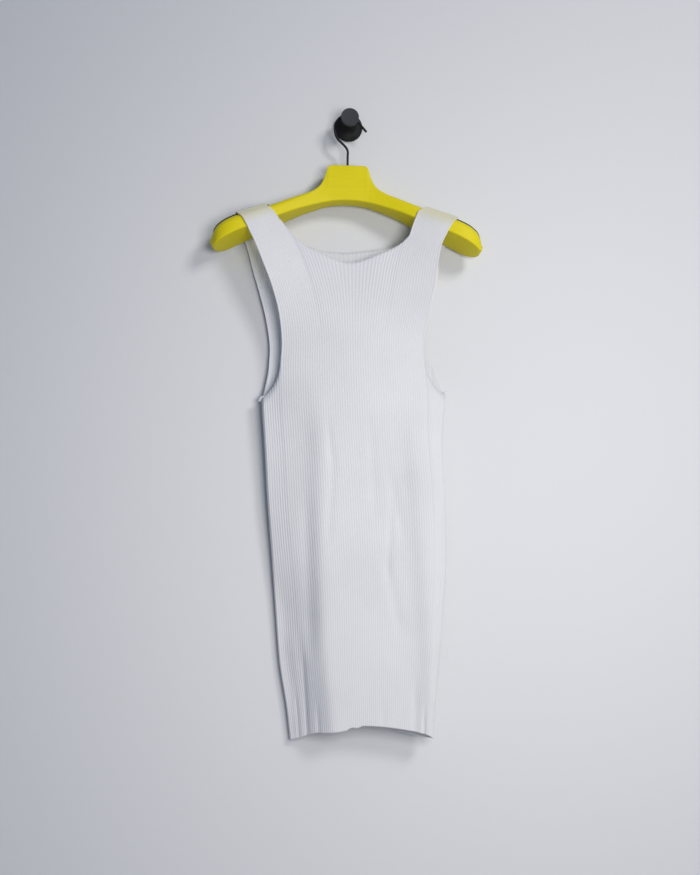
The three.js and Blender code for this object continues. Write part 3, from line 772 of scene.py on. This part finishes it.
def wall_faces(shown, outward):
    """Squares of the outer face, of the inner face and of the rim between them."""
    count = (shown.shape[0] + 1) * (shown.shape[1] + 1)
    index = np.arange(count).reshape(shown.shape[0] + 1, -1)
    r, c = np.nonzero(shown)
    outer = np.stack([index[r, c], index[r, c + 1], index[r + 1, c + 1], index[r + 1, c]], 1)
    if outward > 0:
        outer = outer[:, ::-1]
    inner = outer[:, ::-1] + count
    edges = np.concatenate([outer[:, [i, (i + 1) % 4]] for i in range(4)])
    _, first, uses = np.unique(np.sort(edges, 1), axis=0, return_index=True, return_counts=True)
    border = edges[first[uses == 1]]
    rim = np.stack([border[:, 1], border[:, 0], border[:, 0] + count, border[:, 1] + count], 1)
    return outer, inner, rim


def new_object(name, mesh):
    obj = bpy.data.objects.new(name, mesh)
    bpy.context.collection.objects.link(obj)
    return obj


def square_mesh(name, verts, faces):
    mesh = bpy.data.meshes.new(name)
    mesh.vertices.add(len(verts))
    mesh.vertices.foreach_set("co", verts.ravel().astype(np.float32))
    mesh.loops.add(faces.size)
    mesh.loops.foreach_set("vertex_index", faces.ravel().astype(np.int32))
    mesh.polygons.add(len(faces))
    mesh.polygons.foreach_set("loop_start", np.arange(0, faces.size, 4, dtype=np.int32))
    mesh.update(calc_edges=True)
    mesh.shade_smooth()
    return mesh


def knit_panel(name, panel):
    """A panel as one closed wall, with ribs on its outside, and what its material needs at each point."""
    rows, points = knit_grid(panel)
    shown = mask_of(panel, rows)
    used = used_by(shown)
    across = grid_tangent(points, shown, 1)
    upward = grid_tangent(points, shown, 0)
    normal = unit(np.cross(upward, across)) * panel["outward"]
    normal[:, 0] = -X_AXIS
    normal[:, -1] = X_AXIS

    # Edges lift a little and have rounded corners.
    from_hem = travelled_along(points, 0)
    to_edge = edge_distance(panel, from_hem, travelled_along(points, 1))
    rolled = np.exp(-((np.minimum(to_edge, from_hem) / EDGE_ROLL) ** 2))
    near_hem = np.exp(-((from_hem / EDGE_ROLL) ** 2))
    rounded = EDGE_ROUND * edge_points(used)

    # Ribs stand out more where the knit is stretched sideways, and where it lies over the wood.
    stretch = np.linalg.norm(across, axis=-1) / 2 * PER_RIB / REST_PITCH
    over_wood = np.broadcast_to(smooth((rows[:, None] - WOOD_FROM) / WOOD_OVER), stretch.shape)
    stretched = np.clip(RIB_SHARE + RIB_BY_STRETCH * (stretch - 1), RIB_LEAST, RIB_MOST)
    tall = RIB * (stretched + RIB_ON_WOOD * over_wood)
    columns = np.arange(COLUMNS + 1)
    crest = 1 - np.cos(np.pi * (columns % PER_RIB) / PER_RIB) ** 2
    depth = tall * (1 - crest) - EDGE_LIFT * rolled * (1 - near_hem) + rounded
    inner_depth = THIN - tall * crest * RIB_INSIDE - rounded
    outside = points - normal * depth[..., None]
    inside = points - normal * inner_depth[..., None]

    outer, inner, rim = wall_faces(shown, panel["outward"])
    keep, faces = np.unique(np.concatenate([outer, inner, rim]), return_inverse=True)
    faces = faces.reshape(-1, 4)
    verts = np.concatenate([outside.reshape(-1, 3), inside.reshape(-1, 3)])[keep] * MM
    mesh = square_mesh(name, verts, faces)

    # The cut face of the hem keeps its corners.
    at_hem = verts[:, 2] < HEM_BELOW * MM
    for face, corners in zip(mesh.polygons[-len(rim) :], faces[-len(rim) :]):
        face.use_smooth = not at_hem[corners].all()

    def on_both_faces(values):
        return np.tile(np.broadcast_to(values, stretch.shape).ravel(), 2)[keep]

    shaded = smooth((INSIDE_PALE_TO - on_both_faces(points[..., 0])) / INSIDE_PALE_OVER)
    for attribute, values in (
        ("rib", on_both_faces(columns / PER_RIB)),
        ("course", on_both_faces(from_hem / COURSE)),
        ("over_wood", on_both_faces(over_wood)),
        ("stretch", on_both_faces(stretch)),
        ("inner", (keep >= stretch.size) * shaded),
    ):
        layer = mesh.attributes.new(attribute, "FLOAT", "POINT")
        layer.data.foreach_set("value", values.astype(np.float32))
    return new_object(name, mesh)


def plain_object(name, verts, faces, smooth_shade=True):
    mesh = bpy.data.meshes.new(name)
    mesh.from_pydata([tuple(v) for v in verts], [], [tuple(f) for f in faces])
    if smooth_shade:
        mesh.shade_smooth()
    return new_object(name, mesh)


def loft(name, rings, tips):
    """A closed mesh through rings of points, each end closed by a point."""
    rings = np.asarray(rings)
    count, size = rings.shape[:2]
    faces = []
    for i in range(count - 1):
        for k in range(size):
            n = (k + 1) % size
            faces.append((i * size + k, i * size + n, (i + 1) * size + n, (i + 1) * size + k))
    verts = np.concatenate([rings.reshape(-1, 3), np.array(tips)])
    first, last = count * size, count * size + 1
    for k in range(size):
        n = (k + 1) % size
        faces.append((n, k, first))
        faces.append(((count - 1) * size + k, (count - 1) * size + n, last))
    return plain_object(name, verts * MM, faces)


def circle(sides):
    return np.linspace(0, 2 * math.pi, sides, endpoint=False)


def hanger_ring(x):
    """One cross-section of the hanger, with rounded lower edges."""
    far = abs(x)
    turns = np.linspace(0, math.pi, CROWN_POINTS)
    ring = list(hanger_surface(np.full_like(turns, x), turns, 0.0))
    front, back = along(HANGER, "front", far, "x"), along(HANGER, "back", far, "x")
    low_front, low_back = along(HANGER, "low_front", far, "x"), along(HANGER, "low_back", far, "x")
    edge = min(LOW_EDGE, LOW_EDGE_SHARE * (back - front))
    bends = np.linspace(0, math.pi / 2, LOW_EDGE_POINTS)
    for bend in bends:
        y = back - edge + edge * math.cos(bend)
        ring.append(hanger_to_world(x, y, low_back + edge - edge * math.sin(bend)))
    for bend in bends:
        y = front + edge - edge * math.sin(bend)
        ring.append(hanger_to_world(x, y, low_front + edge - edge * math.cos(bend)))
    return np.array(ring)


def hanger_end(ring, side):
    """Rings that round off one end of the hanger, from the ring there outward, and the tip."""
    middle = ring.mean(0)
    rings = []
    for t in END_STEPS:
        shrunk = middle + (ring - middle) * math.sqrt(1 - t * t)
        rings.append(shrunk + X_AXIS * side * END_OUT * t)
    return rings, middle + X_AXIS * side * END_OUT


def hanger_body():
    half = np.concatenate([np.linspace(*stretch) for stretch in HANGER_RINGS])
    rings = [hanger_ring(x) for x in np.concatenate([-half[:0:-1], half])]
    left_rings, left_tip = hanger_end(rings[0], -1)
    right_rings, right_tip = hanger_end(rings[-1], 1)
    return loft("hanger", left_rings[::-1] + rings + right_rings, (left_tip, right_tip))


def grip_strip(side, name):
    """A ribbed strip of rubber, let into the hanger's top."""
    turns = np.linspace(GRIP_TURN - GRIP_HALF_TURN, GRIP_TURN + GRIP_HALF_TURN, GRIP_POINTS)
    from_middle = np.linspace(-1, 1, GRIP_POINTS)
    rings = []
    for i, x in enumerate(np.linspace(GRIP_FROM, GRIP_TO, GRIP_RINGS)):
        ridge = GRIP_RIDGE * math.cos(math.pi * i)
        near_end = min(1.0, min(x - GRIP_FROM, GRIP_TO - x) / GRIP_END)
        height = (GRIP_THICK + ridge) * math.sqrt(max(GRIP_END_LEAST, 1 - (1 - near_end) ** 2))
        lift = height * (1 - GRIP_CROWN * np.abs(from_middle) ** 4)
        at = np.full_like(turns, side * x)
        over = hanger_surface(at, turns, lift + GRIP_LIFT)
        under = hanger_surface(at, turns, GRIP_UNDER)
        rings.append(np.concatenate([over, under[::-1]]))
    rings = rings if side > 0 else rings[::-1]
    return loft(name, rings, (rings[0].mean(0), rings[-1].mean(0)))


def blended_pairs(points, knots, reach, t):
    """Blends each point with the next one, by where t lies between the knots they reach."""
    shares = (t - knots[:-reach]) / (knots[reach:] - knots[:-reach])
    return [mix(a, b, share) for a, b, share in zip(points, points[1:], shares)]


def smooth_route(points, per_span):
    """A centripetal curve through the points."""
    p = np.array(points, float)
    p = np.concatenate([[2 * p[0] - p[1]], p, [2 * p[-1] - p[-2]]])
    out = []
    for i in range(1, len(p) - 2):
        four = p[i - 1 : i + 3]
        steps = np.sqrt(np.linalg.norm(np.diff(four, axis=0), axis=1))
        knots = np.concatenate([[0], np.cumsum(steps)])
        for t in np.linspace(knots[1], knots[2], per_span, endpoint=False):
            first, second = blended_pairs(blended_pairs(four, knots, 1, t), knots, 2, t)
            out.append(mix(first, second, (t - knots[1]) / (knots[2] - knots[1])))
    out.append(p[-2])
    return np.array(out)


def wire_hook():
    """The hanger's round wire, with a domed free end."""
    route = smooth_route(WIRE_ROUTE, WIRE_STEPS)
    line = np.stack([route[:, 0], np.full(len(route), WIRE_Y), route[:, 1]], 1)
    tangent = unit(np.gradient(line, axis=0))
    around = circle(WIRE_SIDES)
    rings = []
    for point, way in zip(line, tangent):
        up = np.cross(way, Y_AXIS)
        ring = np.outer(np.cos(around), up) + np.outer(np.sin(around), Y_AXIS)
        rings.append(point + WIRE_RADIUS * ring)
    end, way, last_ring = line[-1], tangent[-1], rings[-1]
    for t in WIRE_END_STEPS:
        rings.append(end + way * WIRE_END * t + (last_ring - end) * math.sqrt(1 - t * t))
    return loft("wire_hook", rings[::-1], (end + way * WIRE_END, line[0]))


def wall_hook():
    """A round plate, a flared neck and a round knob, turned about the axis out of the wall."""
    profile = [(PLATE_RADIUS, 0), (PLATE_RADIUS, PLATE_DEPTH - PLATE_EDGE)]
    for turn in np.linspace(0, math.pi / 2, PLATE_EDGE_STEPS + 1)[1:]:
        radius = PLATE_RADIUS - PLATE_EDGE * (1 - math.cos(turn))
        profile.append((radius, PLATE_DEPTH - PLATE_EDGE * (1 - math.sin(turn))))
    for turn in np.linspace(0, math.pi / 2, FLARE_STEPS + 1)[1:]:
        radius = mix(FLARE_RADIUS, NECK_RADIUS, math.sin(turn))
        profile.append((radius, mix(FLARE_TO, PLATE_DEPTH, math.cos(turn))))
    profile += KNOB_PROFILE
    around = circle(LATHE_SIDES)
    rings = []
    for radius, out in profile:
        depth = np.full(LATHE_SIDES, -out)
        rings.append(np.stack([radius * np.cos(around), depth, radius * np.sin(around)], 1))
    return loft("knob_hook", rings, ((0, 0, 0), (0, -profile[-1][1], 0)))


def tack(name, side):
    """A small gathered end of a side seam, standing out of the underarm."""
    root, tip = (np.array(TACK[side][key], float) for key in ("root", "tip"))
    way = unit(tip - root)
    up = unit(np.cross(way, Y_AXIS))
    ahead = np.cross(up, way)
    around = circle(TACK_SIDES)
    rings = []
    for t in np.linspace(TACK_FIRST, 1 - TACK_FIRST, TACK_RINGS):
        radius = TACK_RADIUS * math.sqrt(1 - (2 * t - 1) ** 2) * (1 - TACK_TAPER * t)
        pleat = radius * (1 + TACK_PLEAT * np.cos(TACK_PLEATS * around + TACK_TWIST * t))
        ring = mix(root, tip, t) + np.outer(pleat * np.cos(around), up)
        rings.append(ring + np.outer(pleat * np.sin(around), ahead))
    return loft(name, rings, (root, tip))


# Materials
def material(name):
    mat = bpy.data.materials.new(name)
    mat.use_nodes = True
    nodes = mat.node_tree.nodes
    return mat, nodes, mat.node_tree.links, nodes["Principled BSDF"]


def math_node(nodes, links, operation, a, b=None):
    node = nodes.new("ShaderNodeMath")
    node.operation = operation
    for i, value in enumerate((a, b)):
        if value is None:
            continue
        if isinstance(value, (int, float)):
            node.inputs[i].default_value = value
        else:
            links.new(value, node.inputs[i])
    return node.outputs[0]


def attribute_value(nodes, name):
    node = nodes.new("ShaderNodeAttribute")
    node.attribute_name = name
    return node.outputs["Fac"]


def object_place(nodes):
    return nodes.new("ShaderNodeTexCoord").outputs["Object"]


def noise(nodes, links, place, scale, detail):
    node = nodes.new("ShaderNodeTexNoise")
    node.inputs["Scale"].default_value = scale
    node.inputs["Detail"].default_value = detail
    links.new(place, node.inputs["Vector"])
    return node.outputs["Fac"]


def two_tones(nodes, links, factor, places, colors):
    """Goes from the first colour to the second as the factor goes from one place to the other."""
    node = nodes.new("ShaderNodeValToRGB")
    for element, place, color in zip(node.color_ramp.elements, places, colors):
        element.position = place
        element.color = color
    links.new(factor, node.inputs["Fac"])
    return node.outputs["Color"]


def blended(nodes, links, factor, below, above):
    """Goes from one colour to another with the factor. "below" may be another node's output."""
    node = nodes.new("ShaderNodeMix")
    node.data_type = "RGBA"
    links.new(factor, node.inputs["Factor"])
    below_socket, above_socket = node.inputs[6], node.inputs[7]
    if isinstance(below, tuple):
        below_socket.default_value = below
    else:
        links.new(below, below_socket)
    above_socket.default_value = above
    return node.outputs[2]


def add_bump(nodes, links, shader, height, strength):
    node = nodes.new("ShaderNodeBump")
    node.inputs["Strength"].default_value = strength
    node.inputs["Distance"].default_value = BUMP_DISTANCE
    links.new(height, node.inputs["Height"])
    links.new(node.outputs["Normal"], shader.inputs["Normal"])


def set_shader(shader, values):
    for name, value in values.items():
        shader.inputs[name].default_value = value


def knit_material():
    """White rib knit: slanted stitches and fuzz, painted shade where it is stretched, for the dark inside
    seen through the thinner knit, and painted yellow light from the wood under it.
    """
    mat, nodes, links, shader = material("rib_knit")
    place = object_place(nodes)
    on_rib = math_node(nodes, links, "FRACT", attribute_value(nodes, "rib"))
    off = math_node(nodes, links, "ABSOLUTE", math_node(nodes, links, "SUBTRACT", on_rib, 0.5))
    slant = math_node(nodes, links, "MULTIPLY", off, STITCH_SLANT)
    phase = math_node(nodes, links, "ADD", attribute_value(nodes, "course"), slant)
    wave = math_node(nodes, links, "SINE", math_node(nodes, links, "MULTIPLY", phase, 2 * math.pi))
    stitches = math_node(nodes, links, "MULTIPLY", wave, STITCH_HEIGHT)
    fuzz = noise(nodes, links, place, scale=FUZZ_SCALE, detail=3)
    fuzz = math_node(nodes, links, "MULTIPLY", fuzz, FUZZ_HEIGHT)
    add_bump(nodes, links, shader, math_node(nodes, links, "ADD", stitches, fuzz), KNIT_BUMP)
    cloud = noise(nodes, links, place, scale=CLOUD_SCALE, detail=4)
    color = two_tones(nodes, links, cloud, places=(0.3, 0.7), colors=(KNIT_DEEP, KNIT_PALE))
    # Painted shade where the stretched knit lets the dark inside show through
    stretched = math_node(nodes, links, "SUBTRACT", attribute_value(nodes, "stretch"), 1.0)
    shade_through = math_node(nodes, links, "MULTIPLY", stretched, SHADE_THROUGH_BY_STRETCH)
    color = blended(nodes, links, shade_through, color, KNIT_THIN_SHADOWED)
    # Painted light from the yellow wood, where the knit lies over the hanger
    color = blended(nodes, links, attribute_value(nodes, "over_wood"), color, KNIT_WOOD_LIGHT)
    color = blended(nodes, links, attribute_value(nodes, "inner"), color, KNIT_INSIDE)
    links.new(color, shader.inputs["Base Color"])
    set_shader(shader, {"Roughness": 0.92, "Sheen Weight": 0.25, "Sheen Roughness": 0.5})
    return mat


def paint_material():
    """Satin yellow paint, with the faint grain of the wood under it."""
    mat, nodes, links, shader = material("yellow_paint")
    stretched = nodes.new("ShaderNodeMapping")
    stretched.inputs["Scale"].default_value = GRAIN_STRETCH
    links.new(object_place(nodes), stretched.inputs["Vector"])
    grain = noise(nodes, links, stretched.outputs["Vector"], scale=GRAIN_SCALE, detail=5)
    color = two_tones(nodes, links, grain, places=(0.35, 0.65), colors=(PAINT_DEEP, PAINT_PALE))
    links.new(color, shader.inputs["Base Color"])
    add_bump(nodes, links, shader, grain, PAINT_BUMP)
    set_shader(shader, {"Roughness": 0.5, "Specular IOR Level": 0.2})
    return mat


def dark_material(name, color, grain_scale, bump, values):
    """A dark surface with a fine grain in its colour and height."""
    mat, nodes, links, shader = material(name)
    grain = noise(nodes, links, object_place(nodes), scale=grain_scale, detail=4)
    tones = [tuple(share * c for c in color) + (1,) for share in (1 - DARK_SPREAD, 1 + DARK_SPREAD)]
    toned = two_tones(nodes, links, grain, places=(0.3, 0.7), colors=tones)
    links.new(toned, shader.inputs["Base Color"])
    add_bump(nodes, links, shader, grain, bump)
    set_shader(shader, values)
    return mat


def hook_material():
    """Black coat, with a paler front disc on the knob."""
    mat, nodes, links, shader = material("black_coat")
    place = object_place(nodes)
    apart = nodes.new("ShaderNodeSeparateXYZ")
    links.new(place, apart.inputs["Vector"])
    on_disc = math_node(nodes, links, "LESS_THAN", apart.outputs["Y"], DISC_FROM * MM)
    links.new(blended(nodes, links, on_disc, COAT_DARK, COAT_PALE), shader.inputs["Base Color"])
    grain = noise(nodes, links, place, scale=COAT_SCALE, detail=4)
    add_bump(nodes, links, shader, grain, COAT_BUMP)
    set_shader(shader, {"Roughness": 0.6, "Specular IOR Level": 0.25})
    return mat


KNIT = knit_material()
PAINT = paint_material()
RUBBER = dark_material(
    "black_rubber", RUBBER_COLOR, grain_scale=900, bump=0.25, values={"Roughness": 0.75, "Metallic": 0.0}
)
STEEL = dark_material(
    "black_wire", WIRE_COLOR, grain_scale=500, bump=0.05, values={"Roughness": 0.4, "Metallic": 0.3}
)
COAT = hook_material()

# Pieces
front = knit_panel("front_knit", FRONT_PANEL)
back = knit_panel("back_knit", BACK_PANEL)
hanger = hanger_body()
grip_l = grip_strip(-1, "grip_strip_left")
grip_r = grip_strip(1, "grip_strip_right")
wire = wire_hook()
knob = wall_hook()
tacks = [tack("tack_left", -1), tack("tack_right", 1)]

for obj, node, slot_name, mat in (
    (front, "front", "knit", KNIT),
    (back, "back", "knit", KNIT),
    (hanger, "hanger_body", "hanger_paint", PAINT),
    (grip_l, "grip_left", "grip_rubber", RUBBER),
    (grip_r, "grip_right", "grip_rubber", RUBBER),
    (wire, "hanger_hook", "hook_wire", STEEL),
    (knob, "wall_hook", "wall_hook_coat", COAT),
):
    obj.data.materials.append(mat)
    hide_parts(node)
    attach(obj, "root")

for obj in tacks:
    obj.data.materials.append(KNIT)
    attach(obj, "root")


# Stage: a pale wall and floor. The wall is clear from its far side, so that it never hides the part.
def plane(name, corners, color, clear_behind):
    obj = plain_object(name, corners, [(0, 1, 2, 3)], False)
    mat, nodes, links, shader = material(name + "_paint")
    set_shader(shader, {"Base Color": color, "Roughness": 0.9})
    if clear_behind:
        geometry = nodes.new("ShaderNodeNewGeometry")
        clear = nodes.new("ShaderNodeBsdfTransparent")
        blend = nodes.new("ShaderNodeMixShader")
        links.new(geometry.outputs["Backfacing"], blend.inputs["Fac"])
        links.new(shader.outputs["BSDF"], blend.inputs[1])
        links.new(clear.outputs["BSDF"], blend.inputs[2])
        links.new(blend.outputs["Shader"], nodes["Material Output"].inputs["Surface"])
    obj.data.materials.append(mat)


wall_corners = [
    (-STAGE_HALF, WALL_Y, FLOOR_Z),
    (STAGE_HALF, WALL_Y, FLOOR_Z),
    (STAGE_HALF, WALL_Y, WALL_TOP),
    (-STAGE_HALF, WALL_Y, WALL_TOP),
]
floor_corners = [
    (-STAGE_HALF, FLOOR_NEAR, FLOOR_Z),
    (STAGE_HALF, FLOOR_NEAR, FLOOR_Z),
    (STAGE_HALF, FLOOR_FAR, FLOOR_Z),
    (-STAGE_HALF, FLOOR_FAR, FLOOR_Z),
]
plane("wall", wall_corners, WALL_COLOR, True)
plane("floor", floor_corners, FLOOR_COLOR, False)


# Light: a cool room, a warm lamp high on the right, and a low one in front of the hem
def area_light(name, at, to, size, power):
    data = bpy.data.lights.new(name, "AREA")
    data.shape = "RECTANGLE"
    data.size = size
    data.size_y = size
    data.energy = power
    data.color = LAMP_COLOR
    obj = new_object(name, data)
    obj.location = at
    obj.rotation_euler = (Vector(to) - Vector(at)).to_track_quat("-Z", "Y").to_euler()


world = bpy.data.worlds.new("studio")
bpy.context.scene.world = world
world.use_nodes = True
set_shader(world.node_tree.nodes["Background"], {"Color": ROOM_COLOR, "Strength": ROOM_STRENGTH})
area_light("key", at=(1.36, -1.9, 0.85), to=(0.1, 0.0, -0.5), size=0.6, power=27.2)
area_light("front", at=(0.28, -1.2, -0.5), to=(0.12, 0.0, -0.92), size=0.5, power=9.6)


# Camera
def camera_axes():
    """The camera's right, up and forward: pitched up, then turned, then rolled."""
    yaw = Matrix.Rotation(-CAMERA_YAW, 3, "Z")
    right = yaw @ Vector((1, 0, 0))
    up = yaw @ Vector((0, -math.sin(CAMERA_PITCH), math.cos(CAMERA_PITCH)))
    ahead = yaw @ Vector((0, math.cos(CAMERA_PITCH), math.sin(CAMERA_PITCH)))
    c, s = math.cos(CAMERA_ROLL), math.sin(CAMERA_ROLL)
    return c * right + s * up, c * up - s * right, ahead


right, up, ahead = camera_axes()
camera_data = bpy.data.cameras.new("camera")
camera_data.lens = CAMERA_LENS
camera_data.sensor_width = CAMERA_SENSOR
camera_data.clip_start = CAMERA_NEAR
camera = new_object("camera", camera_data)
camera.matrix_world = Matrix.Translation(CAMERA_AT) @ Matrix((right, up, -ahead)).transposed().to_4x4()
bpy.context.scene.camera = camera
bpy.context.scene.view_settings.view_transform = "Standard"
